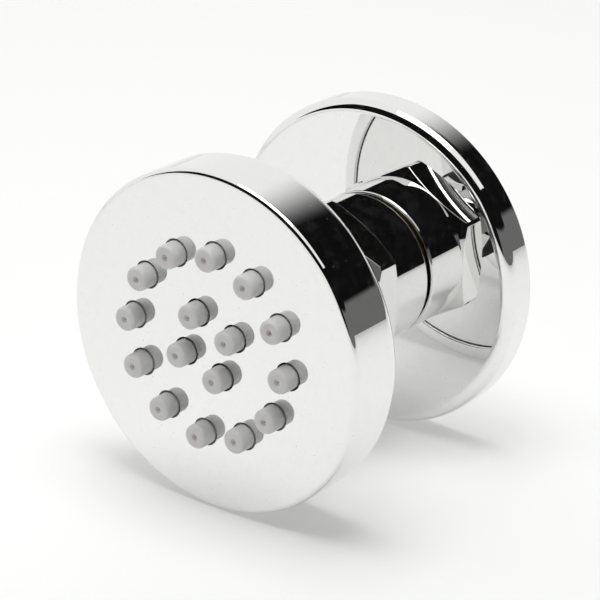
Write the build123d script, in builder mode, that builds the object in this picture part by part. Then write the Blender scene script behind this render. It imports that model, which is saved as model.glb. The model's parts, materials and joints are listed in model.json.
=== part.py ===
# Swivel shower body jet: round spray head on a ball joint, hexagon nut and slip-on wall flange.
# Millimetres. The wall is the plane y = 0, the jet sprays towards -Y and +Z is up.
import os
from math import atan, cos, degrees, radians, sqrt, tan

from build123d import *

os.makedirs("parts", exist_ok=True)

# Overall sizes
projection = 50.5
head_diameter = 60.0
flange_diameter = 60.0

# Spray head
head_depth = 12.0
head_front_round = 0.4
head_rear_round = 2.5
face_thickness = 2.2
rim_wall = 5.0
cover_ledge = 1.5
cover_thickness = 2.5
cover_spigot_length = 2.8
cover_spigot_wall = 3.0
cover_ring_section = 1.6
cover_hub_diameter = 19.0
cover_hub_depth = 4.8
pin_hole_diameter = 3.0
pin_hole_depth = 1.4
pin_hole_circle = 36.0

# Spray pattern
outer_nozzles = 12
inner_nozzles = 4
outer_circle = 32.4
inner_circle = 11.4
nozzle_angle = 25.5
nozzle_root_diameter = 4.5
nozzle_tip_diameter = 4.1
nozzle_height = 3.0
nozzle_tip_round = 0.8
nozzle_feed_diameter = 2.4
nozzle_jet_diameter = 1.0
nozzle_jet_length = 1.6
nozzle_hole_clearance = 0.2
sheet_margin = 2.0
sheet_thickness = 1.4
plate_edge_gap = 1.5
plate_thickness = 2.0
plate_feed_diameter = 2.0
screw_count = 4
screw_circle = 22.0
screw_angle = 40.5
screw_diameter = 2.0
screw_head_diameter = 3.8
screw_head_height = 1.3
screw_grip = 2.4
boss_diameter = 3.8

# Ball stem
ball_diameter = 16.0
ball_depth_in_nut = 4.2
stem_diameter = 9.0
stem_thread_diameter = 12.0
stem_thread_length = 4.6
stem_hex = 14.0
stem_hex_height = 2.6
waterway_diameter = 5.6
stem_washer_thickness = 1.2
stem_washer_diameter = 17.0

# Swivel nut
nut_hex = 27.0
nut_hex_length = 6.2
nut_hex_angle = 28.5
nut_chamfer_angle = 30.0
nut_corner_trim = 0.2
nut_collar_diameter = 26.8
nut_collar_length = 9.2
nut_lip_thickness = 1.5
nut_lip_bore = 14.8
nut_edge_chamfer = 0.3

# Seats in the nut and connector
slip_ring_length = 2.4
slip_ring_diameter = 20.0
seat_bore = 18.6
seat_length = 2.2
seat_waterway = 10.0
ball_ring_section = 1.8
seat_shoulder = 1.8
shoulder_waterway = 10.6

# Connector with its inlet thread
connector_thread = 24.0
inlet_bore = 18.6
inlet_pocket = 19.4

# Inlet fittings
regulator_flange_thickness = 1.0
regulator_body_diameter = 11.8
regulator_body_length = 1.6
regulator_groove_circle = 7.0
regulator_ring_section = 1.4
regulator_holes = 8
regulator_hole_diameter = 1.2
inlet_washer_thickness = 2.0
inlet_washer_bore = 13.2
screen_thickness = 0.35
screen_pitch = 2.6
screen_hole_diameter = 1.6

# Wall flange
flange_depth = 6.5
flange_wall = 1.8
flange_front_round = 0.8
flange_rear_round = 0.5
flange_hub_diameter = 33.0
flange_hub_recess = 1.2
flange_ring_section = 2.0

# Clearances
flange_gap = 0.6
flange_bore_clearance = 0.3
thread_clearance = 0.05
seat_clearance = 0.05
ball_clearance = 0.15
hole_clearance = 0.1

# Bores and discs of the head, from the rim inwards
rim_bore = head_diameter - 2 * rim_wall
cover_seat_bore = rim_bore + 2 * cover_ledge
plate_diameter = rim_bore - 2 * plate_edge_gap
sheet_diameter = plate_diameter - 2 * sheet_margin

# Stations along the axis, counted forwards from the wall
nut_rear = flange_depth + flange_gap
hex_rear = nut_rear + nut_collar_length
nut_front = hex_rear + nut_hex_length
lip_rear = nut_front - nut_lip_thickness
ball_centre = nut_front - ball_depth_in_nut
face_rear = projection - face_thickness
head_rear = projection - head_depth
cover_front = head_rear + cover_thickness
sheet_rear = face_rear - sheet_thickness
plate_rear = sheet_rear - plate_thickness
stem_shoulder = head_rear - stem_washer_thickness
stem_hex_rear = stem_shoulder - stem_hex_height
slip_ring_rear = lip_rear - slip_ring_length
connector_front = slip_ring_rear - seat_clearance
ball_radius = ball_diameter / 2
ball_ring_radius = (seat_bore - ball_ring_section) / 2
ball_ring_reach = ball_radius + ball_clearance + ball_ring_section / 2
ball_ring_centre = ball_centre - sqrt(ball_ring_reach**2 - ball_ring_radius**2)
seat_front = ball_ring_centre - ball_ring_section / 2
seat_rear = seat_front - seat_length
inlet_floor = seat_rear - seat_shoulder
regulator_flange_rear = inlet_floor - regulator_flange_thickness
regulator_rear = regulator_flange_rear - regulator_body_length
inlet_washer_rear = regulator_flange_rear - inlet_washer_thickness
flange_ring_radius = (connector_thread + flange_ring_section) / 2
flange_ring_centre = (flange_depth + flange_hub_recess) / 2

# Face shell: the spray face and rim, turned as one cup and closed from behind
with BuildPart() as face_shell:
    with BuildSketch(Plane.XZ.offset(head_rear)):
        Circle(head_diameter / 2)
    extrude(amount=head_depth)
    front_edge = face_shell.edges().sort_by(Axis.Y)[0]
    fillet(front_edge, head_front_round)
    rear_edge = face_shell.edges().sort_by(Axis.Y)[-1]
    fillet(rear_edge, head_rear_round)
    with BuildSketch(Plane.XZ.offset(head_rear)):
        Circle(rim_bore / 2)
    extrude(amount=head_depth - face_thickness, mode=Mode.SUBTRACT)
    with BuildSketch(Plane.XZ.offset(head_rear)):
        Circle(cover_seat_bore / 2)
    extrude(amount=cover_thickness, mode=Mode.SUBTRACT)
    with BuildSketch(Plane.XZ.offset(sheet_rear)):
        with PolarLocations(screw_circle / 2, screw_count, screw_angle):
            Circle(boss_diameter / 2)
    extrude(amount=sheet_thickness)
    with BuildSketch(Plane.XZ.offset(face_rear)):
        with PolarLocations(outer_circle / 2, outer_nozzles, nozzle_angle):
            Circle(nozzle_root_diameter / 2 + nozzle_hole_clearance)
        with PolarLocations(inner_circle / 2, inner_nozzles, nozzle_angle):
            Circle(nozzle_root_diameter / 2 + nozzle_hole_clearance)
    extrude(amount=face_thickness, mode=Mode.SUBTRACT)
    with BuildSketch(Plane.XZ.offset(sheet_rear)):
        with PolarLocations(screw_circle / 2, screw_count, screw_angle):
            Circle(screw_diameter / 2)
    extrude(amount=screw_grip, mode=Mode.SUBTRACT)
face_shell.part.label = "face_shell"
export_step(face_shell.part, "parts/face_shell.step")

# Nozzle sheet: one silicone moulding, with tapered nozzles standing out through the face
nozzle_taper = degrees(atan((nozzle_root_diameter - nozzle_tip_diameter) / 2 / nozzle_height))
nozzle_tip = projection + nozzle_height
with BuildPart() as nozzle_sheet:
    with BuildSketch(Plane.XZ.offset(projection)):
        with PolarLocations(outer_circle / 2, outer_nozzles, nozzle_angle):
            Circle(nozzle_root_diameter / 2)
        with PolarLocations(inner_circle / 2, inner_nozzles, nozzle_angle):
            Circle(nozzle_root_diameter / 2)
    extrude(amount=nozzle_height, taper=nozzle_taper)
    fillet(nozzle_sheet.edges().group_by(Axis.Y)[0], nozzle_tip_round)
    extrude(nozzle_sheet.faces().group_by(Axis.Y)[-1], amount=face_thickness)
    with BuildSketch(Plane.XZ.offset(sheet_rear)):
        Circle(sheet_diameter / 2)
        with PolarLocations(screw_circle / 2, screw_count, screw_angle):
            Circle(boss_diameter / 2 + hole_clearance, mode=Mode.SUBTRACT)
    extrude(amount=sheet_thickness)
    with BuildSketch(Plane.XZ.offset(sheet_rear)):
        with PolarLocations(outer_circle / 2, outer_nozzles, nozzle_angle):
            Circle(nozzle_feed_diameter / 2)
        with PolarLocations(inner_circle / 2, inner_nozzles, nozzle_angle):
            Circle(nozzle_feed_diameter / 2)
    extrude(amount=nozzle_tip - nozzle_jet_length - sheet_rear, mode=Mode.SUBTRACT)
    with BuildSketch(Plane.XZ.offset(nozzle_tip - nozzle_jet_length)):
        with PolarLocations(outer_circle / 2, outer_nozzles, nozzle_angle):
            Circle(nozzle_jet_diameter / 2)
        with PolarLocations(inner_circle / 2, inner_nozzles, nozzle_angle):
            Circle(nozzle_jet_diameter / 2)
    extrude(amount=nozzle_jet_length, mode=Mode.SUBTRACT)
nozzle_sheet.part.label = "nozzle_sheet"
export_step(nozzle_sheet.part, "parts/nozzle_sheet.step")

# Jet plate: holds the sheet against the face and feeds each nozzle
with BuildPart() as jet_plate:
    with BuildSketch(Plane.XZ.offset(plate_rear)):
        Circle(plate_diameter / 2)
        with PolarLocations(outer_circle / 2, outer_nozzles, nozzle_angle):
            Circle(plate_feed_diameter / 2, mode=Mode.SUBTRACT)
        with PolarLocations(inner_circle / 2, inner_nozzles, nozzle_angle):
            Circle(plate_feed_diameter / 2, mode=Mode.SUBTRACT)
        with PolarLocations(screw_circle / 2, screw_count, screw_angle):
            Circle(screw_diameter / 2 + hole_clearance, mode=Mode.SUBTRACT)
    extrude(amount=plate_thickness)
jet_plate.part.label = "jet_plate"
export_step(jet_plate.part, "parts/jet_plate.step")

# Plate screws: pan heads behind the plate, shanks in the shell's bosses
with BuildPart() as plate_screws:
    with BuildSketch(Plane.XZ.offset(plate_rear - screw_head_height)):
        with PolarLocations(screw_circle / 2, screw_count, screw_angle):
            Circle(screw_head_diameter / 2)
    extrude(amount=screw_head_height)
    fillet(plate_screws.edges().group_by(Axis.Y)[-1], screw_head_height / 2)
    with BuildSketch(Plane.XZ.offset(plate_rear)):
        with PolarLocations(screw_circle / 2, screw_count, screw_angle):
            Circle(screw_diameter / 2 - seat_clearance)
    extrude(amount=plate_thickness + screw_grip - hole_clearance)
plate_screws.part.label = "plate_screws"
export_step(plate_screws.part, "parts/plate_screws.step")

# Rear cover: closes the shell, carries its sealing ring and takes the stem in a hub
cover_spigot_front = cover_front + cover_spigot_length
cover_ring_centre = cover_front + cover_spigot_length / 2
cover_ring_radius = (rim_bore - cover_ring_section) / 2
with BuildPart() as rear_cover:
    with BuildSketch(Plane.XZ.offset(head_rear)):
        Circle(cover_seat_bore / 2 - thread_clearance)
    extrude(amount=cover_thickness)
    with BuildSketch(Plane.XZ.offset(cover_front)):
        Circle(rim_bore / 2 - hole_clearance)
        Circle(rim_bore / 2 - hole_clearance - cover_spigot_wall, mode=Mode.SUBTRACT)
    extrude(amount=cover_spigot_length)
    with BuildSketch(Plane.XZ.offset(head_rear)):
        Circle(cover_hub_diameter / 2)
    extrude(amount=cover_hub_depth)
    with BuildSketch(Plane.XZ.offset(head_rear)):
        Circle(stem_thread_diameter / 2 + thread_clearance)
    extrude(amount=cover_hub_depth, mode=Mode.SUBTRACT)
    with BuildSketch(Plane.XZ.offset(head_rear)):
        with PolarLocations(pin_hole_circle / 2, 2):
            Circle(pin_hole_diameter / 2)
    extrude(amount=pin_hole_depth, mode=Mode.SUBTRACT)
    with BuildSketch(Plane.XZ.offset(cover_ring_centre - cover_ring_section / 2)):
        Circle(rim_bore / 2)
        Circle(rim_bore / 2 - cover_ring_section, mode=Mode.SUBTRACT)
    extrude(amount=cover_ring_section, mode=Mode.SUBTRACT)
rear_cover.part.label = "rear_cover"
export_step(rear_cover.part, "parts/rear_cover.step")

# Cover ring: rubber ring in the spigot's groove
with BuildPart() as cover_ring:
    with BuildSketch(Plane.XY):
        with Locations((cover_ring_radius, -cover_ring_centre)):
            Circle(cover_ring_section / 2)
    revolve(axis=Axis.Y)
cover_ring.part.label = "cover_ring"
export_step(cover_ring.part, "parts/cover_ring.step")

# Ball stem: hollow ball, neck, spanner hexagon and the thread that screws into the cover
with BuildPart() as ball_stem:
    with Locations((0, -ball_centre, 0)):
        Sphere(ball_radius)
    with BuildSketch(Plane.XZ.offset(ball_centre)):
        Circle(stem_diameter / 2)
    extrude(amount=stem_hex_rear - ball_centre)
    with BuildSketch(Plane.XZ.offset(stem_hex_rear)):
        RegularPolygon(stem_hex / 2, 6, major_radius=False)
    extrude(amount=stem_hex_height)
    with BuildSketch(Plane.XZ.offset(stem_shoulder)):
        Circle(stem_thread_diameter / 2)
    extrude(amount=stem_washer_thickness + stem_thread_length)
    with BuildSketch(Plane.XZ):
        Circle(waterway_diameter / 2)
    extrude(amount=projection, mode=Mode.SUBTRACT)
ball_stem.part.label = "ball_stem"
export_step(ball_stem.part, "parts/ball_stem.step")

# Stem washer: seals the stem's shoulder against the cover
with BuildPart() as stem_washer:
    with BuildSketch(Plane.XZ.offset(stem_shoulder)):
        Circle(stem_washer_diameter / 2)
        Circle(stem_thread_diameter / 2 + hole_clearance, mode=Mode.SUBTRACT)
    extrude(amount=stem_washer_thickness)
stem_washer.part.label = "stem_washer"
export_step(stem_washer.part, "parts/stem_washer.step")

# Swivel nut: chamfered hexagon and plain collar in one turning, with a lip that traps the ball
# The hexagon's corners are turned down a little, as on bar stock
hex_corner_radius = nut_hex / 2 / cos(radians(30)) - nut_corner_trim
hex_chamfer_length = (hex_corner_radius - nut_collar_diameter / 2) * tan(radians(nut_chamfer_angle))
with BuildPart() as swivel_nut:
    with BuildSketch(Plane.XZ.offset(hex_rear)):
        RegularPolygon(nut_hex / 2, 6, major_radius=False, rotation=nut_hex_angle)
    extrude(amount=nut_hex_length)
    with BuildSketch(Plane.XY):
        with BuildLine():
            Polyline(
                (0, -nut_front),
                (nut_collar_diameter / 2, -nut_front),
                (hex_corner_radius, -nut_front + hex_chamfer_length),
                (hex_corner_radius, -hex_rear - hex_chamfer_length),
                (nut_collar_diameter / 2, -hex_rear),
                (0, -hex_rear),
                close=True,
            )
        make_face()
    revolve(axis=Axis.Y, mode=Mode.INTERSECT)
    with BuildSketch(Plane.XZ.offset(nut_rear)):
        Circle(nut_collar_diameter / 2)
    extrude(amount=nut_collar_length)
    rear_edge = swivel_nut.edges().sort_by(Axis.Y)[-1]
    chamfer(rear_edge, nut_edge_chamfer)
    with BuildSketch(Plane.XZ.offset(nut_rear)):
        Circle(connector_thread / 2 + thread_clearance)
    extrude(amount=connector_front - nut_rear, mode=Mode.SUBTRACT)
    with BuildSketch(Plane.XZ.offset(nut_rear)):
        Circle(slip_ring_diameter / 2 + seat_clearance)
    extrude(amount=lip_rear - nut_rear, mode=Mode.SUBTRACT)
    with BuildSketch(Plane.XZ.offset(nut_rear)):
        Circle(nut_lip_bore / 2)
    extrude(amount=nut_front - nut_rear, mode=Mode.SUBTRACT)
    with Locations((0, -ball_centre, 0)):
        Sphere(ball_radius + ball_clearance, mode=Mode.SUBTRACT)
swivel_nut.part.label = "swivel_nut"
export_step(swivel_nut.part, "parts/swivel_nut.step")

# Slip ring: low-friction front seat of the ball, behind the nut's lip
with BuildPart() as slip_ring:
    with BuildSketch(Plane.XZ.offset(slip_ring_rear)):
        Circle(slip_ring_diameter / 2)
    extrude(amount=slip_ring_length)
    with Locations((0, -ball_centre, 0)):
        Sphere(ball_radius + ball_clearance, mode=Mode.SUBTRACT)
    with BuildSketch(Plane.XZ.offset(slip_ring_rear)):
        Circle(nut_lip_bore / 2)
    extrude(amount=slip_ring_length, mode=Mode.SUBTRACT)
slip_ring.part.label = "slip_ring"
export_step(slip_ring.part, "parts/slip_ring.step")

# Ball seat: rear seat of the ball, in the connector's mouth
with BuildPart() as ball_seat:
    with BuildSketch(Plane.XZ.offset(seat_rear)):
        Circle(seat_bore / 2 - seat_clearance)
        Circle(seat_waterway / 2, mode=Mode.SUBTRACT)
    extrude(amount=seat_length)
    with Locations((0, -ball_centre, 0)):
        Sphere(ball_radius + ball_clearance, mode=Mode.SUBTRACT)
ball_seat.part.label = "ball_seat"
export_step(ball_seat.part, "parts/ball_seat.step")

# Ball ring: rubber ring between the seat, the connector's wall and the ball
with BuildPart() as ball_ring:
    with BuildSketch(Plane.XY):
        with Locations((ball_ring_radius, -ball_ring_centre)):
            Circle(ball_ring_section / 2)
    revolve(axis=Axis.Y)
ball_ring.part.label = "ball_ring"
export_step(ball_ring.part, "parts/ball_ring.step")

# Connector: brass body with the nut's thread outside and the inlet thread inside
with BuildPart() as connector:
    with BuildSketch(Plane.XZ):
        Circle(connector_thread / 2)
    extrude(amount=connector_front)
    with BuildSketch(Plane.XZ.offset(seat_rear)):
        Circle(seat_bore / 2)
    extrude(amount=connector_front - seat_rear, mode=Mode.SUBTRACT)
    with BuildSketch(Plane.XZ):
        Circle(shoulder_waterway / 2)
    extrude(amount=seat_rear, mode=Mode.SUBTRACT)
    with BuildSketch(Plane.XZ):
        Circle(inlet_bore / 2)
    extrude(amount=inlet_floor, mode=Mode.SUBTRACT)
    with BuildSketch(Plane.XZ.offset(inlet_washer_rear)):
        Circle(inlet_pocket / 2)
    extrude(amount=inlet_floor - inlet_washer_rear, mode=Mode.SUBTRACT)
connector.part.label = "connector"
export_step(connector.part, "parts/connector.step")

# Flow regulator: moulded disc with a ring of metering holes and a groove for its rubber ring
regulator_ring_centre = regulator_flange_rear - regulator_ring_section / 2
with BuildPart() as flow_regulator:
    with BuildSketch(Plane.XZ.offset(regulator_flange_rear)):
        Circle(inlet_bore / 2 - hole_clearance)
    extrude(amount=regulator_flange_thickness)
    with BuildSketch(Plane.XZ.offset(regulator_rear)):
        Circle(regulator_body_diameter / 2)
        Circle((regulator_groove_circle + regulator_ring_section) / 2 + hole_clearance, mode=Mode.SUBTRACT)
        Circle((regulator_groove_circle - regulator_ring_section) / 2 - hole_clearance)
    extrude(amount=regulator_body_length)
    with BuildSketch(Plane.XZ.offset(regulator_flange_rear)):
        with PolarLocations(regulator_groove_circle / 2, regulator_holes):
            Circle(regulator_hole_diameter / 2)
    extrude(amount=regulator_flange_thickness, mode=Mode.SUBTRACT)
flow_regulator.part.label = "flow_regulator"
export_step(flow_regulator.part, "parts/flow_regulator.step")

# Regulator ring: the elastic ring that narrows the metering holes as pressure rises
with BuildPart() as regulator_ring:
    with BuildSketch(Plane.XY):
        with Locations((regulator_groove_circle / 2, -regulator_ring_centre)):
            Circle(regulator_ring_section / 2)
    revolve(axis=Axis.Y)
regulator_ring.part.label = "regulator_ring"
export_step(regulator_ring.part, "parts/regulator_ring.step")

# Filter screen: pierced disc laid on the regulator inside the inlet washer
with BuildPart() as filter_screen:
    with BuildSketch(Plane.XZ.offset(regulator_rear - screen_thickness)):
        Circle(inlet_washer_bore / 2 - hole_clearance)
        with HexLocations(screen_pitch / 2, 3, 3):
            Circle(screen_hole_diameter / 2, mode=Mode.SUBTRACT)
    extrude(amount=screen_thickness)
filter_screen.part.label = "filter_screen"
export_step(filter_screen.part, "parts/filter_screen.step")

# Inlet washer: seals the end of the wall nipple against the regulator
with BuildPart() as inlet_washer:
    with BuildSketch(Plane.XZ.offset(inlet_washer_rear)):
        Circle(inlet_pocket / 2 - hole_clearance)
        Circle(inlet_washer_bore / 2, mode=Mode.SUBTRACT)
    extrude(amount=inlet_washer_thickness)
inlet_washer.part.label = "inlet_washer"
export_step(inlet_washer.part, "parts/inlet_washer.step")

# Wall flange: flat-fronted cup with a central hub that slips over the connector
flange_bore = connector_thread + 2 * flange_bore_clearance
with BuildPart() as wall_flange:
    with BuildSketch(Plane.XZ):
        Circle(flange_diameter / 2)
    extrude(amount=flange_depth)
    front_edge = wall_flange.edges().sort_by(Axis.Y)[0]
    fillet(front_edge, flange_front_round)
    rear_edge = wall_flange.edges().sort_by(Axis.Y)[-1]
    fillet(rear_edge, flange_rear_round)
    with BuildSketch(Plane.XZ):
        Circle(flange_diameter / 2 - flange_wall)
    extrude(amount=flange_depth - flange_wall, mode=Mode.SUBTRACT)
    with BuildSketch(Plane.XZ.offset(flange_hub_recess)):
        Circle(flange_hub_diameter / 2)
    extrude(amount=flange_depth - flange_wall - flange_hub_recess)
    with BuildSketch(Plane.XZ):
        Circle(flange_bore / 2)
    extrude(amount=flange_depth, mode=Mode.SUBTRACT)
    with BuildSketch(Plane.XZ.offset(flange_ring_centre - flange_ring_section / 2)):
        Circle(connector_thread / 2 + flange_ring_section)
    extrude(amount=flange_ring_section, mode=Mode.SUBTRACT)
wall_flange.part.label = "wall_flange"
export_step(wall_flange.part, "parts/wall_flange.step")

# Flange ring: rubber ring in the hub's groove that grips the connector
with BuildPart() as flange_ring:
    with BuildSketch(Plane.XY):
        with Locations((flange_ring_radius, -flange_ring_centre)):
            Circle(flange_ring_section / 2)
    revolve(axis=Axis.Y)
flange_ring.part.label = "flange_ring"
export_step(flange_ring.part, "parts/flange_ring.step")
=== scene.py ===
import json
from math import acos, cos, pi, radians, sin, sqrt, tan

import bmesh
import bpy
from mathutils import Matrix, Vector


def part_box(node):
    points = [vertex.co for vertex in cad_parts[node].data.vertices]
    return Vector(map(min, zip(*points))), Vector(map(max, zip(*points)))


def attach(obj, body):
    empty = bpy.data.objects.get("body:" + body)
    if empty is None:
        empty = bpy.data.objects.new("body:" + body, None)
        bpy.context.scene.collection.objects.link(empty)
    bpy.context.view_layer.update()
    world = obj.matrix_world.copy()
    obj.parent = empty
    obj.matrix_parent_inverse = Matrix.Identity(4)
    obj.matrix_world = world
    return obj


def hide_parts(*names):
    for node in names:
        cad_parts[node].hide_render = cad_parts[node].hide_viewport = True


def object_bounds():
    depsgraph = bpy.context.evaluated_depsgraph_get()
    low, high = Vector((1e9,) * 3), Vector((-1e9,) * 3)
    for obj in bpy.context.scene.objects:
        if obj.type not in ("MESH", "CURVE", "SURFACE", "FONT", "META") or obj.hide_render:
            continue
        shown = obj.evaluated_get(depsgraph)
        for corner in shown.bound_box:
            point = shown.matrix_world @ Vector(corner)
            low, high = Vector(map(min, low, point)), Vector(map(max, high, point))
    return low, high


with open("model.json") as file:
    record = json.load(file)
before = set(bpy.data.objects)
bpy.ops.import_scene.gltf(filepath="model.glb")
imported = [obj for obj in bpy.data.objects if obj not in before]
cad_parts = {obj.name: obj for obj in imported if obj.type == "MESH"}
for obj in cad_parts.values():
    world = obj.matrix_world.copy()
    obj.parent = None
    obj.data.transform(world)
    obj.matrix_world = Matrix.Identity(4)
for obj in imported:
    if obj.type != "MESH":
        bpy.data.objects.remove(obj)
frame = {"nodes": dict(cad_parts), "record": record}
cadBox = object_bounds()
mm = 0.001
swivelCentre = Vector(frame["record"]["behaviour"]["joints"][1]["pos_m"])   # middle of the ball
print("frame loaded:", len(frame["nodes"]), "nodes")


# small helpers

ringSlack = 0.002                  # mm, how far from its circle a vertex may be found
mergeDistance = 1e-7               # metres
mixA, mixB, mixResult = 6, 7, 2    # colour sockets of a Mix node, by number as their names repeat
white = (1, 1, 1, 1)
hexSides = 6


def hexColour(code):
    # sRGB hex to linear
    srgb = [int(code[i:i + 2], 16) / 255 for i in (1, 3, 5)]
    linear = [c / 12.92 if c <= 0.04045 else ((c + 0.055) / 1.055) ** 2.4 for c in srgb]
    return (*linear, 1.0)


def addNode(tree, kind, settings, plugs):
    # plugs holds constants and the sockets to link, by input name or number
    node = tree.nodes.new(kind)
    for key, value in settings.items():
        setattr(node, key, value)
    for key, value in plugs.items():
        if isinstance(value, bpy.types.NodeSocket):
            tree.links.new(value, node.inputs[key])
        else:
            node.inputs[key].default_value = value
    return node


def newMaterial(name):
    mat = bpy.data.materials.new(name)
    mat.use_nodes = True
    tree = mat.node_tree
    tree.nodes.clear()
    return mat, tree, addNode(tree, "ShaderNodeTexCoord", {}, {}).outputs["Object"]


def closeMaterial(mat, tree, shader):
    addNode(tree, "ShaderNodeOutputMaterial", {}, {"Surface": shader.outputs[0]})
    return mat


def vertsOf(geom):
    return [g for g in geom if isinstance(g, bmesh.types.BMVert)]


def edgesOf(geom):
    return [g for g in geom if isinstance(g, bmesh.types.BMEdge)]


def edgesAt(verts):
    # each edge once, in the order it is met
    return list(dict.fromkeys(e for v in verts for e in v.link_edges))


def everything(bm):
    return bm.verts[:] + bm.edges[:] + bm.faces[:]


def lathe(bm, outline, steps, closed=True, at=(0, 0), finish=0):
    # turns (radius, y) points in mm about an axis along Y through (x, z)
    before = len(bm.faces)
    spot = Vector((at[0] * mm, 0, at[1] * mm))
    verts = [bm.verts.new(spot + Vector((r * mm, y * mm, 0))) for r, y in outline]
    ends = verts[1:] + verts[:1] if closed else verts[1:]
    edges = [bm.edges.new(pair) for pair in zip(verts, ends)]
    bmesh.ops.spin(bm, geom=verts + edges, cent=spot, axis=(0, 1, 0), angle=2 * pi, steps=steps,
                   use_merge=True)
    bm.faces.ensure_lookup_table()
    for f in bm.faces[before:]:
        f.material_index = finish


def ring(bm, r, y, at=(0, 0)):
    # the edges on the circle of this radius and y, in mm
    def onRing(v):
        reach = Vector((v.co.x / mm - at[0], v.co.z / mm - at[1])).length
        return abs(v.co.y / mm - y) < ringSlack and abs(reach - r) < ringSlack
    return [e for e in bm.edges if onRing(e.verts[0]) and onRing(e.verts[1])]


def roundEdges(bm, edges, size, segments):
    bmesh.ops.bevel(bm, geom=edges, offset=size * mm, offset_type="OFFSET", segments=segments,
                    profile=0.5, affect="EDGES", material=-1)


def roundRing(bm, r, y, size, segments):
    roundEdges(bm, ring(bm, r, y), size, segments)


def fillFlat(bm, edges, facing):
    # one flat face with holes; facing is -1 to the front, 1 to the wall
    bmesh.ops.triangle_fill(bm, edges=edges, use_beauty=True, normal=(0, facing, 0))


def finishPiece(name, bm, materials, body, node, sharpDeg=30):
    bmesh.ops.remove_doubles(bm, verts=bm.verts[:], dist=mergeDistance)
    bmesh.ops.recalc_face_normals(bm, faces=bm.faces[:])
    openEdges = sum(1 for e in bm.edges if not e.is_manifold)
    mesh = bpy.data.meshes.new(name)
    bm.to_mesh(mesh)
    bm.free()
    mesh.shade_smooth()
    mesh.set_sharp_from_angle(angle=radians(sharpDeg))
    for mat in materials:
        mesh.materials.append(mat)
    piece = bpy.data.objects.new(name, mesh)
    bpy.context.scene.collection.objects.link(piece)
    flats = piece.modifiers.new("flats", "WEIGHTED_NORMAL")   # keeps a flat true beside a round
    flats.keep_sharp = True
    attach(piece, body)
    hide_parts(node)
    print("made", name, len(mesh.polygons), "faces,", openEdges, "open edges")
    return piece


# materials, with pattern sizes in mm

plate = {"film": 2.4, "filmDetail": 9.0, "filmRoughness": 0.78, "hazeFrom": 0.5, "hazeFull": 0.8,
         "haze": 0.035, "dustGap": 0.9, "dustPick": 0.82, "dotFull": 0.06, "dotEdge": 0.12,
         "dust": 0.3, "dirtFull": 0.2, "roughClean": 0.015, "roughDirty": 0.12,
         "tint": "#f0f0ef", "filmTint": "#eaeae9"}   # dot sizes are parts of the dust gap


def polishedChrome():
    # chrome plate on polished brass: a clean mirror, with a thin drying haze in patches
    # and fine dust on the dark parts
    mat, tree, place = newMaterial("polishedChrome")
    film = addNode(tree, "ShaderNodeTexNoise", {}, {
        "Vector": place, "Scale": 1 / (plate["film"] * mm), "Detail": plate["filmDetail"],
        "Roughness": plate["filmRoughness"]})
    haze = addNode(tree, "ShaderNodeMapRange", {}, {
        0: film.outputs["Fac"], "From Min": plate["hazeFrom"], "From Max": plate["hazeFull"],
        "To Min": 0.0, "To Max": plate["haze"]})
    dust = addNode(tree, "ShaderNodeTexVoronoi", {}, {
        "Vector": place, "Scale": 1 / (plate["dustGap"] * mm)})
    cell = addNode(tree, "ShaderNodeSeparateColor", {}, {0: dust.outputs["Color"]})
    few = addNode(tree, "ShaderNodeMath", {"operation": "GREATER_THAN"}, {
        0: cell.outputs[0], 1: plate["dustPick"]})   # only some cells hold a speck
    dot = addNode(tree, "ShaderNodeMapRange", {}, {
        0: dust.outputs["Distance"], "From Min": plate["dotFull"], "From Max": plate["dotEdge"],
        "To Min": plate["dust"], "To Max": 0.0})
    speck = addNode(tree, "ShaderNodeMath", {"operation": "MULTIPLY"}, {
        0: few.outputs[0], 1: dot.outputs[0]})
    dirt = addNode(tree, "ShaderNodeMath", {"operation": "ADD"}, {
        0: haze.outputs[0], 1: speck.outputs[0]})
    metal = addNode(tree, "ShaderNodeMath", {"operation": "SUBTRACT"}, {
        0: 1.0, 1: dirt.outputs[0]})
    rough = addNode(tree, "ShaderNodeMapRange", {}, {
        0: dirt.outputs[0], "From Max": plate["dirtFull"],
        "To Min": plate["roughClean"], "To Max": plate["roughDirty"]})
    colour = addNode(tree, "ShaderNodeMix", {"data_type": "RGBA"}, {
        0: film.outputs["Fac"], mixA: hexColour(plate["tint"]), mixB: hexColour(plate["filmTint"])})
    shader = addNode(tree, "ShaderNodeBsdfPrincipled", {}, {
        "Base Color": colour.outputs[mixResult], "Roughness": rough.outputs[0],
        "Metallic": metal.outputs[0]})
    return closeMaterial(mat, tree, shader)


softSkin = {"cloud": 1.6, "cloudDetail": 5.0, "cloudRoughness": 0.6, "grain": 0.2,
            "grainDetail": 2.0, "roughMin": 0.42, "roughMax": 0.6, "bump": 0.12, "bumpDepth": 0.03,
            "ior": 1.41, "seeIn": 0.25, "seeInTint": (1.0, 0.95, 0.9), "seeInDepth": 0.6}


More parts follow.
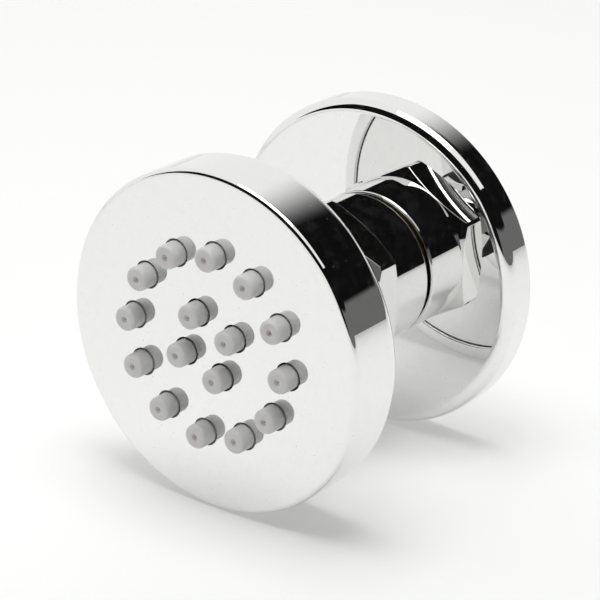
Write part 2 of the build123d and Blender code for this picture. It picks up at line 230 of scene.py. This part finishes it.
def mouldedSilicone(name, dark, light):
    # liquid silicone, moulded: matt and soft, slightly see-through at thin edges
    mat, tree, place = newMaterial(name)
    cloud = addNode(tree, "ShaderNodeTexNoise", {}, {
        "Vector": place, "Scale": 1 / (softSkin["cloud"] * mm), "Detail": softSkin["cloudDetail"],
        "Roughness": softSkin["cloudRoughness"]})
    grain = addNode(tree, "ShaderNodeTexNoise", {}, {
        "Vector": place, "Scale": 1 / (softSkin["grain"] * mm), "Detail": softSkin["grainDetail"]})
    colour = addNode(tree, "ShaderNodeMix", {"data_type": "RGBA"}, {
        0: cloud.outputs["Fac"], mixA: hexColour(dark), mixB: hexColour(light)})
    rough = addNode(tree, "ShaderNodeMapRange", {}, {
        0: cloud.outputs["Fac"], "To Min": softSkin["roughMin"], "To Max": softSkin["roughMax"]})
    bump = addNode(tree, "ShaderNodeBump", {}, {
        "Strength": softSkin["bump"], "Distance": softSkin["bumpDepth"] * mm,
        "Height": grain.outputs["Fac"]})
    shader = addNode(tree, "ShaderNodeBsdfPrincipled", {}, {
        "Base Color": colour.outputs[mixResult], "Roughness": rough.outputs[0],
        "Normal": bump.outputs[0], "IOR": softSkin["ior"], "Subsurface Weight": softSkin["seeIn"],
        "Subsurface Radius": softSkin["seeInTint"],
        "Subsurface Scale": softSkin["seeInDepth"] * mm})
    return closeMaterial(mat, tree, shader)


toolMarks = {"spacing": 0.25, "wander": 1.2, "detail": 2.0, "tarnish": 4.0, "tarnishDetail": 4.0,
             "bump": 0.2, "bumpDepth": 0.02}
waveRate = 20   # a Wave node's own factor on its coordinate


def turnedMetal(name, light, dark, roughMin, roughMax):
    # turned or drilled metal: tool lines round the axis and a little tarnish
    # real tool lines are finer, and are drawn 0.25 mm apart so that they show
    mat, tree, place = newMaterial(name)
    lines = addNode(tree, "ShaderNodeTexWave", {"bands_direction": "Y"}, {
        "Vector": place, "Scale": 2 * pi / (waveRate * toolMarks["spacing"] * mm),
        "Distortion": toolMarks["wander"], "Detail": toolMarks["detail"]})
    tarnish = addNode(tree, "ShaderNodeTexNoise", {}, {
        "Vector": place, "Scale": 1 / (toolMarks["tarnish"] * mm),
        "Detail": toolMarks["tarnishDetail"]})
    colour = addNode(tree, "ShaderNodeMix", {"data_type": "RGBA"}, {
        0: tarnish.outputs["Fac"], mixA: hexColour(light), mixB: hexColour(dark)})
    rough = addNode(tree, "ShaderNodeMapRange", {}, {
        0: lines.outputs["Fac"], "To Min": roughMin, "To Max": roughMax})
    bump = addNode(tree, "ShaderNodeBump", {}, {
        "Strength": toolMarks["bump"], "Distance": toolMarks["bumpDepth"] * mm,
        "Height": lines.outputs["Fac"]})
    shader = addNode(tree, "ShaderNodeBsdfPrincipled", {}, {
        "Base Color": colour.outputs[mixResult], "Roughness": rough.outputs[0],
        "Normal": bump.outputs[0], "Metallic": 1.0})
    return closeMaterial(mat, tree, shader)


mouldSkin = {"cloud": 5.0, "cloudDetail": 4.0, "grainDetail": 2.0, "roughSpread": 0.06,
             "bump": 0.15, "bumpDepth": 0.03}


def mouldedSkin(name, dark, light, roughness, grainSize):
    # rubber, acetal or ABS from a mould: even colour, slight clouding and a fine tool texture
    mat, tree, place = newMaterial(name)
    cloud = addNode(tree, "ShaderNodeTexNoise", {}, {
        "Vector": place, "Scale": 1 / (mouldSkin["cloud"] * mm),
        "Detail": mouldSkin["cloudDetail"]})
    grain = addNode(tree, "ShaderNodeTexNoise", {}, {
        "Vector": place, "Scale": 1 / (grainSize * mm), "Detail": mouldSkin["grainDetail"]})
    colour = addNode(tree, "ShaderNodeMix", {"data_type": "RGBA"}, {
        0: cloud.outputs["Fac"], mixA: hexColour(dark), mixB: hexColour(light)})
    rough = addNode(tree, "ShaderNodeMapRange", {}, {
        0: grain.outputs["Fac"], "To Min": roughness - mouldSkin["roughSpread"],
        "To Max": roughness + mouldSkin["roughSpread"]})
    bump = addNode(tree, "ShaderNodeBump", {}, {
        "Strength": mouldSkin["bump"], "Distance": mouldSkin["bumpDepth"] * mm,
        "Height": grain.outputs["Fac"]})
    shader = addNode(tree, "ShaderNodeBsdfPrincipled", {}, {
        "Base Color": colour.outputs[mixResult], "Roughness": rough.outputs[0],
        "Normal": bump.outputs[0]})
    return closeMaterial(mat, tree, shader)


sheetSteel = {"brush": 0.15, "brushDetail": 3.0, "stretch": (0.08, 1.0, 1.0), "roughMin": 0.22,
              "roughMax": 0.4, "dark": "#bdbdbb", "light": "#cfcfcd"}


def rolledStainless():
    # rolled stainless sheet and screws: cool grey metal, brushed one way
    mat, tree, place = newMaterial("rolledStainless")
    stretch = addNode(tree, "ShaderNodeMapping", {}, {
        "Vector": place, "Scale": sheetSteel["stretch"]})
    brush = addNode(tree, "ShaderNodeTexNoise", {}, {
        "Vector": stretch.outputs[0], "Scale": 1 / (sheetSteel["brush"] * mm),
        "Detail": sheetSteel["brushDetail"]})
    colour = addNode(tree, "ShaderNodeMix", {"data_type": "RGBA"}, {
        0: brush.outputs["Fac"], mixA: hexColour(sheetSteel["dark"]),
        mixB: hexColour(sheetSteel["light"])})
    rough = addNode(tree, "ShaderNodeMapRange", {}, {
        0: brush.outputs["Fac"], "To Min": sheetSteel["roughMin"],
        "To Max": sheetSteel["roughMax"]})
    shader = addNode(tree, "ShaderNodeBsdfPrincipled", {}, {
        "Base Color": colour.outputs[mixResult], "Roughness": rough.outputs[0], "Metallic": 1.0})
    return closeMaterial(mat, tree, shader)


chrome = polishedChrome()
silicone = mouldedSilicone("greySilicone", "#d1d1d0", "#dadad9")
jetSkin = mouldedSilicone("waterStainedSilicone", "#bdb4ae", "#c5bdb8")
brass = turnedMetal("turnedBrass", "#c9a468", "#a5834e", 0.34, 0.5)
# plating is thin and dull inside the drilled holes, and its dark colour also paints the shade that
# falls in the gap round each nozzle
holePlatingAndPaintedShade = turnedMetal("dullPlatingAndPaintedShade", "#5c5a57", "#474542", 0.4, 0.5)
stainless = rolledStainless()
rubber = mouldedSkin("blackRubber", "#17140f", "#211d18", 0.55, 0.2)
acetal = mouldedSkin("whiteAcetal", "#d9d6cb", "#e4e2d9", 0.38, 0.3)
darkAbs = mouldedSkin("darkAbs", "#1b1b1b", "#262626", 0.45, 0.25)
print("materials made")

# inner pieces keep their CAD meshes and get a finish
innerFinish = {
    "jet_plate": darkAbs, "plate_screws": stainless, "cover_ring": rubber, "slip_ring": acetal,
    "ball_seat": acetal, "ball_ring": rubber, "flow_regulator": acetal, "regulator_ring": rubber,
    "filter_screen": stainless, "inlet_washer": rubber, "flange_ring": rubber,
}
for nodeName, finish in innerFinish.items():
    inner = frame["nodes"][nodeName].data
    inner.materials.clear()
    inner.materials.append(finish)
print("inner pieces finished")


# spray face and its nozzles; from here on radii, depths and rounds are in mm

shellLow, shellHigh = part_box("face_shell")
headRadius = shellHigh.x / mm
faceY = shellLow.y / mm
headRearY = shellHigh.y / mm
face = {"frontRound": 1.0, "seamEdge": 0.45, "rearRound": 2.5, "thickness": 2.2, "bore": 25.0,
        "coverSeat": 26.5, "coverDepth": 2.5, "holeField": 20.5, "hole": 2.47, "boss": 1.9,
        "bossHeight": 1.4, "screw": 1.0, "screwDepth": 1.0,
        "steps": 256, "frontSteps": 12, "rearSteps": 16, "seamSteps": 3, "screwSteps": 32}
spray = {"outerCount": 12, "innerCount": 4, "outerCircle": 16.2, "innerCircle": 5.7, "angle": 25.5,
         "screwCount": 4, "screwCircle": 11.0, "screwAngle": 40.5}
nozzle = {"root": 2.12, "rootLip": 0.04, "waist": 1.8, "tip": 2.12, "tipRound": 0.6, "flare": 0.75,
          "flareRound": 0.4, "funnel": 0.4, "jet": 0.1, "jetLength": 1.6, "feed": 1.2,
          "stain": 0.6, "stainFrom": 0.05, "bossHole": 2.0, "sharpDeg": 50,
          "steps": 48, "tipSteps": 8, "flareSteps": 4, "edgeSteps": 128, "bossSteps": 32}


def aroundAxis(count, radius, startDeg):
    turns = [radians(startDeg) + k * 2 * pi / count for k in range(count)]
    return [(radius * cos(t), radius * sin(t)) for t in turns]


jetSpots = aroundAxis(spray["outerCount"], spray["outerCircle"], spray["angle"])
jetSpots += aroundAxis(spray["innerCount"], spray["innerCircle"], spray["angle"])
screwSpots = aroundAxis(spray["screwCount"], spray["screwCircle"], spray["screwAngle"])


def faceShell():
    backY = faceY + face["thickness"]
    seatY = headRearY - face["coverDepth"]
    bossY = backY + face["bossHeight"]
    screwY = backY - face["screwDepth"]
    bm = bmesh.new()
    lathe(bm, [(face["holeField"], faceY), (headRadius, faceY), (headRadius, headRearY),
               (face["coverSeat"], headRearY), (face["coverSeat"], seatY), (face["bore"], seatY),
               (face["bore"], backY), (face["holeField"], backY)], face["steps"], closed=False)
    roundRing(bm, headRadius, faceY, face["frontRound"], face["frontSteps"])
    roundRing(bm, headRadius, headRearY, face["rearRound"], face["rearSteps"])
    roundRing(bm, face["coverSeat"], headRearY, face["seamEdge"], face["seamSteps"])
    front = ring(bm, face["holeField"], faceY)
    back = ring(bm, face["holeField"], backY)
    for spot in jetSpots:
        # finish 1 is the dull plating, whose dark colour also paints shade into the gap round each
        # nozzle
        lathe(bm, [(face["hole"], faceY), (face["hole"], backY)], nozzle["steps"], closed=False,
              at=spot, finish=1)
        front += ring(bm, face["hole"], faceY, spot)
        back += ring(bm, face["hole"], backY, spot)
    for spot in screwSpots:
        lathe(bm, [(face["boss"], backY), (face["boss"], bossY), (face["screw"], bossY),
                   (face["screw"], screwY), (0, screwY)], face["screwSteps"], closed=False, at=spot)
        back += ring(bm, face["boss"], backY, spot)
    fillFlat(bm, front, -1)
    fillFlat(bm, back, 1)
    finishPiece("faceShell", bm, [chrome, holePlatingAndPaintedShade], "head", "face_shell")


def nozzleSheet():
    low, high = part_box("nozzle_sheet")
    tipY, rearY, edge = low.y / mm, high.y / mm, high.x / mm
    frontY = faceY + face["thickness"]
    lipY = faceY + nozzle["rootLip"]
    jetY = tipY + nozzle["jetLength"]
    bm = bmesh.new()
    # one nozzle on the axis, waisted below the face so that a dark line shows round its root
    lathe(bm, [(nozzle["waist"], frontY), (nozzle["waist"], lipY), (nozzle["root"], lipY),
               (nozzle["root"], faceY), (nozzle["tip"], tipY), (nozzle["flare"], tipY),
               (nozzle["jet"], tipY + nozzle["funnel"]), (nozzle["jet"], jetY),
               (nozzle["feed"], jetY), (nozzle["feed"], rearY)], nozzle["steps"], closed=False)
    roundRing(bm, nozzle["tip"], tipY, nozzle["tipRound"], nozzle["tipSteps"])
    roundRing(bm, nozzle["flare"], tipY, nozzle["flareRound"], nozzle["flareSteps"])
    stainY = tipY + nozzle["stainFrom"]
    for f in bm.faces:
        middle = f.calc_center_median() / mm
        if middle.y > stainY and middle.xz.length < nozzle["stain"]:
            f.material_index = 1
    # then two circles of them
    outer = everything(bm)
    inner = bmesh.ops.duplicate(bm, geom=outer)["geom"]
    for geom, count, spot in ((outer, spray["outerCount"], jetSpots[0]),
                              (inner, spray["innerCount"], jetSpots[-1])):
        bmesh.ops.translate(bm, verts=vertsOf(geom), vec=(spot[0] * mm, 0, spot[1] * mm))
        bmesh.ops.spin(bm, geom=geom, cent=(0, 0, 0), axis=(0, 1, 0), steps=count - 1,
                       angle=2 * pi * (count - 1) / count, use_duplicate=True)
    lathe(bm, [(edge, frontY), (edge, rearY)], nozzle["edgeSteps"], closed=False)
    front, rear = ring(bm, edge, frontY), ring(bm, edge, rearY)
    for spot in screwSpots:
        lathe(bm, [(nozzle["bossHole"], frontY), (nozzle["bossHole"], rearY)], nozzle["bossSteps"],
              closed=False, at=spot)
        front += ring(bm, nozzle["bossHole"], frontY, spot)
        rear += ring(bm, nozzle["bossHole"], rearY, spot)
    for spot in jetSpots:
        front += ring(bm, nozzle["waist"], frontY, spot)
        rear += ring(bm, nozzle["feed"], rearY, spot)
    fillFlat(bm, front, -1)
    fillFlat(bm, rear, 1)
    finishPiece("nozzleSheet", bm, [silicone, jetSkin], "head", "nozzle_sheet",
                nozzle["sharpDeg"])


faceShell()
nozzleSheet()

# rear of the head

cover = {"spigot": 24.9, "spigotWall": 3.0, "groove": 23.4, "grooveFrom": 0.6, "grooveWidth": 1.6,
         "hub": 9.5, "hubDepth": 4.8, "bore": 6.05, "pinCount": 2, "pinHole": 1.5,
         "pinCircle": 18.0, "pinDepth": 1.4, "edge": 0.9,
         "steps": 192, "pinSteps": 40, "edgeSteps": 6}


def rearCover():
    low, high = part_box("rear_cover")
    rim, rearY, spigotY = high.x / mm, high.y / mm, low.y / mm
    frontY = rearY - face["coverDepth"]
    hubY = rearY - cover["hubDepth"]
    pinY = rearY - cover["pinDepth"]
    grooveY = frontY - cover["grooveFrom"]
    grooveEndY = grooveY - cover["grooveWidth"]
    inside = cover["spigot"] - cover["spigotWall"]
    bm = bmesh.new()
    lathe(bm, [(rim, rearY), (rim, frontY), (cover["spigot"], frontY), (cover["spigot"], grooveY),
               (cover["groove"], grooveY), (cover["groove"], grooveEndY),
               (cover["spigot"], grooveEndY), (cover["spigot"], spigotY), (inside, spigotY),
               (inside, frontY), (cover["hub"], frontY), (cover["hub"], hubY),
               (cover["bore"], hubY), (cover["bore"], rearY)], cover["steps"], closed=False)
    back = ring(bm, rim, rearY) + ring(bm, cover["bore"], rearY)
    for spot in aroundAxis(cover["pinCount"], cover["pinCircle"], 0):
        lathe(bm, [(cover["pinHole"], rearY), (cover["pinHole"], pinY), (0, pinY)],
              cover["pinSteps"], closed=False, at=spot)
        back += ring(bm, cover["pinHole"], rearY, spot)
    fillFlat(bm, back, 1)
    roundRing(bm, rim, rearY, cover["edge"], cover["edgeSteps"])
    finishPiece("rearCover", bm, [chrome], "head", "rear_cover")


stem = {"ball": 8.0, "neck": 4.5, "waterway": 2.8, "hexFlats": 14.0, "hexHeight": 2.6,
        "thread": 6.0, "edge": 0.18, "arcSteps": 40, "steps": 128, "edgeSteps": 3}


def ballStem():
    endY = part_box("ball_stem")[0].y / mm
    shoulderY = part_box("stem_washer")[1].y / mm
    hexY = shoulderY + stem["hexHeight"]
    bm = bmesh.new()
    # ball outline: one vertex swept from the waterway round to the neck
    mouthY = swivelCentre.y + sqrt(stem["ball"] ** 2 - stem["waterway"] ** 2) * mm
    mouth = bm.verts.new((stem["waterway"] * mm, mouthY, 0))
    sweep = acos(stem["waterway"] / stem["ball"]) + acos(stem["neck"] / stem["ball"])
    ball = bmesh.ops.spin(bm, geom=[mouth], cent=swivelCentre, axis=(0, 0, -1), angle=sweep,
                          steps=stem["arcSteps"])
    neck = [vertsOf(ball["geom_last"])[0], bm.verts.new((stem["neck"] * mm, hexY * mm, 0))]
    bore = ((stem["waterway"], endY), (stem["thread"], endY), (stem["thread"], shoulderY))
    tube = [mouth] + [bm.verts.new((r * mm, y * mm, 0)) for r, y in bore]
    for line in (neck, tube):
        for pair in zip(line, line[1:]):
            bm.edges.new(pair)
    bmesh.ops.spin(bm, geom=everything(bm), cent=(0, 0, 0), axis=(0, 1, 0), angle=2 * pi,
                   steps=stem["steps"], use_merge=True)
    # spanner hexagon between the neck and the thread
    turn = Matrix.Rotation(pi / 2, 4, "X") @ Matrix.Rotation(pi / hexSides, 4, "Z")
    corners = bmesh.ops.create_circle(
        bm, segments=hexSides, radius=stem["hexFlats"] / 2 / cos(pi / hexSides) * mm,
        matrix=Matrix.Translation((0, hexY * mm, 0)) @ turn)["verts"]
    rear = edgesAt(corners)
    walls = bmesh.ops.extrude_edge_only(bm, edges=rear)["geom"]
    frontCorners = vertsOf(walls)
    bmesh.ops.translate(bm, verts=frontCorners, vec=(0, -stem["hexHeight"] * mm, 0))
    front = [e for e in edgesOf(walls) if all(v in frontCorners for v in e.verts)]
    hexEdges = edgesAt(frontCorners + corners)
    fillFlat(bm, rear + ring(bm, stem["neck"], hexY), 1)
    fillFlat(bm, front + ring(bm, stem["thread"], shoulderY), -1)
    roundEdges(bm, hexEdges, stem["edge"], stem["edgeSteps"])
    finishPiece("ballStem", bm, [chrome], "head", "ball_stem")


washer = {"clearance": 0.1, "edge": 0.25, "steps": 96, "edgeSteps": 3}


def stemWasher():
    low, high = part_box("stem_washer")
    rim, frontY, rearY = high.x / mm, low.y / mm, high.y / mm
    bore = stem["thread"] + washer["clearance"]
    bm = bmesh.new()
    lathe(bm, [(bore, frontY), (rim, frontY), (rim, rearY), (bore, rearY)], washer["steps"])
    for y in (frontY, rearY):
        roundRing(bm, rim, y, washer["edge"], washer["edgeSteps"])
    finishPiece("stemWasher", bm, [rubber], "head", "stem_washer")


rearCover()
ballStem()
stemWasher()
print("head done")

# swivel nut: turned first, then the six flats are cut

nut = {"flats": 27.0, "collar": 13.4, "cornerTrim": 0.2, "hexLength": 6.2, "chamferDeg": 30,
       "hexAngle": 28.5, "lip": 1.5, "lipBore": 7.4, "ballRelief": 0.7, "reliefStep": 0.29,
       "slipBore": 10.05, "slipDepth": 2.45, "thread": 12.05, "rearEdge": 0.5, "edge": 0.22,
       "sharpDeg": 20, "steps": 288, "rearSteps": 5, "edgeSteps": 3}


def swivelNut():
    low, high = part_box("swivel_nut")
    frontY, rearY = low.y / mm, high.y / mm
    hexY = frontY + nut["hexLength"]
    seatY = frontY + nut["lip"]
    slipY = seatY + nut["slipDepth"]
    corner = nut["flats"] / 2 / cos(pi / hexSides) - nut["cornerTrim"]
    chamfer = (corner - nut["collar"]) * tan(radians(nut["chamferDeg"]))
    bm = bmesh.new()
    lathe(bm, [(nut["lipBore"], frontY), (nut["collar"], frontY), (corner, frontY + chamfer),
               (corner, hexY - chamfer), (nut["collar"], hexY), (nut["collar"], rearY),
               (nut["thread"], rearY), (nut["thread"], slipY), (nut["slipBore"], slipY),
               (nut["slipBore"], seatY), (nut["lipBore"] + nut["reliefStep"], seatY),
               (nut["lipBore"], seatY - nut["ballRelief"])], nut["steps"])
    flatAngle = nut["hexAngle"] + 180 / hexSides   # a flat's middle is half a side past a corner
    for side in aroundAxis(hexSides, nut["flats"] / 2, flatAngle):
        out = Vector((side[0], 0, side[1])) * mm
        cut = bmesh.ops.bisect_plane(bm, geom=everything(bm), plane_co=out,
                                     plane_no=out.normalized(), clear_outer=True)
        bmesh.ops.edgenet_fill(bm, edges=edgesOf(cut["geom_cut"]))
    roundRing(bm, nut["collar"], rearY, nut["rearEdge"], nut["rearSteps"])
    piece = finishPiece("swivelNut", bm, [chrome], "wall_body", "swivel_nut",
                        nut["sharpDeg"])
    edges = piece.modifiers.new("edges", "BEVEL")   # polished edges catch a thin line of light
    edges.width = nut["edge"] * mm
    edges.segments = nut["edgeSteps"]
    edges.limit_method = "ANGLE"
    edges.angle_limit = radians(nut["sharpDeg"])
    piece.modifiers.move(1, 0)   # the edges come before the weighted normals


swivelNut()

# connector, with its inlet thread as a helical ridge on the bore

inlet = {"outer": 12.0, "threadRoot": 10.3, "threadCrest": 9.32, "pitch": 1.814, "turns": 2.7,
         "ridge": (0.06, 0.42, 0.52, 0.88), "sink": 0.03, "leadIn": 0.5, "pocket": 9.7,
         "shoulder": 5.3, "seat": 9.3, "edge": 0.25,
         "steps": 128, "perTurn": 64, "edgeSteps": 3}   # ridge corners are parts of the pitch


def connectorBody():
    low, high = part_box("connector")
    frontY, rearY = low.y / mm, high.y / mm
    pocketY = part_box("inlet_washer")[1].y / mm
    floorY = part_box("flow_regulator")[0].y / mm
    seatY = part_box("ball_seat")[1].y / mm
    root, crest = inlet["threadRoot"], inlet["threadCrest"]
    bm = bmesh.new()
    lathe(bm, [(inlet["outer"], frontY), (inlet["outer"], rearY), (root + inlet["leadIn"], rearY),
               (root, rearY - inlet["leadIn"]), (root, pocketY), (inlet["pocket"], pocketY),
               (inlet["pocket"], floorY), (inlet["shoulder"], floorY), (inlet["shoulder"], seatY),
               (inlet["seat"], seatY), (inlet["seat"], frontY)], inlet["steps"])
    roundRing(bm, inlet["outer"], rearY, inlet["edge"], inlet["edgeSteps"])
    foot = root + inlet["sink"]   # the ridge's foot is sunk in the wall
    flank = [bm.verts.new((r * mm, (pocketY + part * inlet["pitch"]) * mm, 0))
             for r, part in zip((foot, crest, crest, foot), inlet["ridge"])]
    loop = [bm.edges.new(pair) for pair in zip(flank, flank[1:] + flank[:1])]
    bmesh.ops.spin(bm, geom=flank + loop, cent=(0, 0, 0), axis=(0, 1, 0),
                   angle=2 * pi * inlet["turns"], steps=int(inlet["turns"] * inlet["perTurn"]),
                   dvec=(0, inlet["pitch"] / inlet["perTurn"] * mm, 0))
    bmesh.ops.holes_fill(bm, edges=[e for e in bm.edges if e.is_boundary], sides=len(flank))
    finishPiece("connectorBody", bm, [brass], "wall_body", "connector")


connectorBody()

# wall flange

flange = {"frontRound": 2.2, "rearRound": 0.5, "innerRound": 0.6, "wall": 1.8, "hub": 16.5,
          "hubRecess": 1.2, "bore": 12.3, "groove": 14.0, "grooveWidth": 2.0,
          "steps": 256, "frontSteps": 20, "rearSteps": 8, "innerSteps": 5}


def wallFlange():
    low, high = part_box("wall_flange")
    rim, frontY, rearY = high.x / mm, low.y / mm, high.y / mm
    inside = rim - flange["wall"]
    innerY = frontY + flange["wall"]
    hubY = rearY - flange["hubRecess"]
    grooveY = (frontY + hubY + flange["grooveWidth"]) / 2
    grooveEndY = grooveY - flange["grooveWidth"]
    bm = bmesh.new()
    lathe(bm, [(flange["bore"], frontY), (rim, frontY), (rim, rearY), (inside, rearY),
               (inside, innerY), (flange["hub"], innerY), (flange["hub"], hubY),
               (flange["bore"], hubY), (flange["bore"], grooveY), (flange["groove"], grooveY),
               (flange["groove"], grooveEndY), (flange["bore"], grooveEndY)], flange["steps"])
    roundRing(bm, rim, frontY, flange["frontRound"], flange["frontSteps"])
    roundRing(bm, rim, rearY, flange["rearRound"], flange["rearSteps"])
    for r in (inside, flange["hub"]):
        roundRing(bm, r, innerY, flange["innerRound"], flange["innerSteps"])
    finishPiece("wallFlange", bm, [chrome], "wall_body", "wall_flange")


wallFlange()
print("wall side done")

# stage: pale floor, white room, dark cards for the chrome to show, one soft lamp overhead
# sizes in metres, apart from the floor's drop, which is in mm

floor = {"reach": 1.5, "drop": 0.05, "colour": "#f4f4f3", "lift": 0.3}


def stagePlane(name, reach, place, mat):
    bm = bmesh.new()
    bmesh.ops.create_grid(bm, x_segments=1, y_segments=1, size=1.0,
                          matrix=place @ Matrix.Diagonal((reach[0], reach[1], 1, 1)))
    mesh = bpy.data.meshes.new(name)
    bm.to_mesh(mesh)
    bm.free()
    mesh.materials.append(mat)
    plane = bpy.data.objects.new(name, mesh)
    bpy.context.scene.collection.objects.link(plane)


def paleFloor():
    # the lift is the share of plain white that the camera and the chrome see in the floor
    mat, tree = newMaterial("paleFloor")[:2]
    matt = addNode(tree, "ShaderNodeBsdfDiffuse", {}, {"Color": hexColour(floor["colour"])})
    glow = addNode(tree, "ShaderNodeEmission", {}, {"Color": white, "Strength": 1.0})
    path = addNode(tree, "ShaderNodeLightPath", {}, {})
    mirror = addNode(tree, "ShaderNodeMath", {"operation": "MAXIMUM"}, {
        0: path.outputs["Is Glossy Ray"], 1: path.outputs["Is Transmission Ray"]})
    seen = addNode(tree, "ShaderNodeMath", {"operation": "MAXIMUM"}, {
        0: path.outputs["Is Camera Ray"], 1: mirror.outputs[0]})
    share = addNode(tree, "ShaderNodeMath", {"operation": "MULTIPLY"}, {
        0: seen.outputs[0], 1: floor["lift"]})
    mix = addNode(tree, "ShaderNodeMixShader", {}, {
        0: share.outputs[0], 1: matt.outputs[0], 2: glow.outputs[0]})
    place = Matrix.Translation((0, 0, cadBox[0][2] - floor["drop"] * mm))
    stagePlane("floor", (floor["reach"], floor["reach"]), place, closeMaterial(mat, tree, mix))


cards = {"away": 1.2, "reach": 2.6, "top": 3.0, "fade": (-0.53, 0.3), "fadeFoot": 0.3,
         "foot": (0.36, 0.44), "footLevel": 0.15, "dark": 0.005, "frontReach": 2.2,
         "frontTop": 2.1, "frontSplit": 0.3, "frontFoot": 0.28, "sideTop": 1.15}


def darkCards():
    # dark cards outside the picture give the chrome its black bands
    # the back one fades out to the left for a soft end of the band, and has a grey foot
    floorZ = cadBox[0][2]
    mat, tree, place = newMaterial("backCard")
    axes = addNode(tree, "ShaderNodeSeparateXYZ", {}, {0: place})
    fade = addNode(tree, "ShaderNodeMapRange", {"interpolation_type": "SMOOTHSTEP"}, {
        0: axes.outputs["X"], "From Min": cards["fade"][0], "From Max": cards["fade"][1]})
    foot = addNode(tree, "ShaderNodeMapRange", {"interpolation_type": "SMOOTHSTEP"}, {
        0: axes.outputs["Z"], "From Min": cards["foot"][0], "From Max": cards["foot"][1],
        "To Min": cards["footLevel"], "To Max": cards["dark"]})
    cloth = addNode(tree, "ShaderNodeEmission", {}, {"Color": white, "Strength": foot.outputs[0]})
    clear = addNode(tree, "ShaderNodeBsdfTransparent", {}, {})
    mix = addNode(tree, "ShaderNodeMixShader", {}, {
        0: fade.outputs[0], 1: clear.outputs[0], 2: cloth.outputs[0]})
    backCard = closeMaterial(mat, tree, mix)
    mat, tree = newMaterial("frontCard")[:2]
    black = addNode(tree, "ShaderNodeEmission", {}, {"Color": white, "Strength": cards["dark"]})
    frontCard = closeMaterial(mat, tree, black)
    upright = Matrix.Rotation(pi / 2, 4, "X")
    backY, frontY = cards["away"], -cards["away"]
    fadeFrom, fadeTo = cards["fade"]
    end, split, frontTop = cards["frontReach"], cards["frontSplit"], cards["frontTop"]
    # the front card stands off the floor at the left, so that a tilted face stays white
    for name, mat, y, left, right, low, high in (
            ("backCard", backCard, backY, fadeTo, cards["reach"], floorZ, cards["top"]),
            ("fadeCard", backCard, backY, fadeFrom, fadeTo, cards["fadeFoot"], cards["top"]),
            ("frontCard", frontCard, frontY, -end, split, cards["frontFoot"], frontTop),
            ("frontSideCard", frontCard, frontY, split, end, floorZ, frontTop)):
        middle = Matrix.Translation(((left + right) / 2, y, (low + high) / 2)) @ upright
        stagePlane(name, ((right - left) / 2, (high - low) / 2), middle, mat)
    turned = Matrix.Rotation(pi / 2, 4, "Z") @ upright
    side = Matrix.Translation((cards["away"], 0, (floorZ + cards["sideTop"]) / 2)) @ turned
    stagePlane("sideCard", (cards["away"], (cards["sideTop"] - floorZ) / 2), side, backCard)


room = {"level": 0.95, "lampPower": 3.8, "lampSize": 0.5, "lampAt": (0.0, -0.08, 0.75)}


def softLight():
    world = bpy.data.worlds.new("whiteRoom")
    world.use_nodes = True
    background = world.node_tree.nodes["Background"]
    background.inputs["Color"].default_value = white
    background.inputs["Strength"].default_value = room["level"]
    bpy.context.scene.world = world
    data = bpy.data.lights.new("overhead", "AREA")
    data.energy = room["lampPower"]
    data.size = room["lampSize"]
    lamp = bpy.data.objects.new("overhead", data)
    lamp.location = room["lampAt"]
    bpy.context.scene.collection.objects.link(lamp)


# angles in degrees, distance and shifts in mm, focal length in pixels of the photo's frame
view = {"azimuth": 37.54, "elevation": 22.94, "distance": 464.14, "right": -16.014, "up": -8.221,
        "focalPixels": 2600.0, "framePixels": 600.0, "sensor": 36.0, "clipStart": 0.01}


def photoCamera():
    az, el = radians(view["azimuth"]), radians(view["elevation"])
    back = Vector((sin(az) * cos(el), -cos(az) * cos(el), sin(el)))
    right = Vector((cos(az), sin(az), 0))
    up = back.cross(right)
    data = bpy.data.cameras.new("photoCamera")
    data.sensor_width = view["sensor"]
    data.lens = view["focalPixels"] / view["framePixels"] * data.sensor_width
    data.clip_start = view["clipStart"]
    cam = bpy.data.objects.new("photoCamera", data)
    bpy.context.scene.collection.objects.link(cam)
    place = (back * view["distance"] + right * view["right"] + up * view["up"]) * mm
    cam.matrix_world = Matrix.Translation(place) @ Matrix((right, up, back)).transposed().to_4x4()
    bpy.context.scene.camera = cam


paleFloor()
darkCards()
softLight()
photoCamera()
bpy.context.scene.view_settings.view_transform = "Standard"
print("stage done")
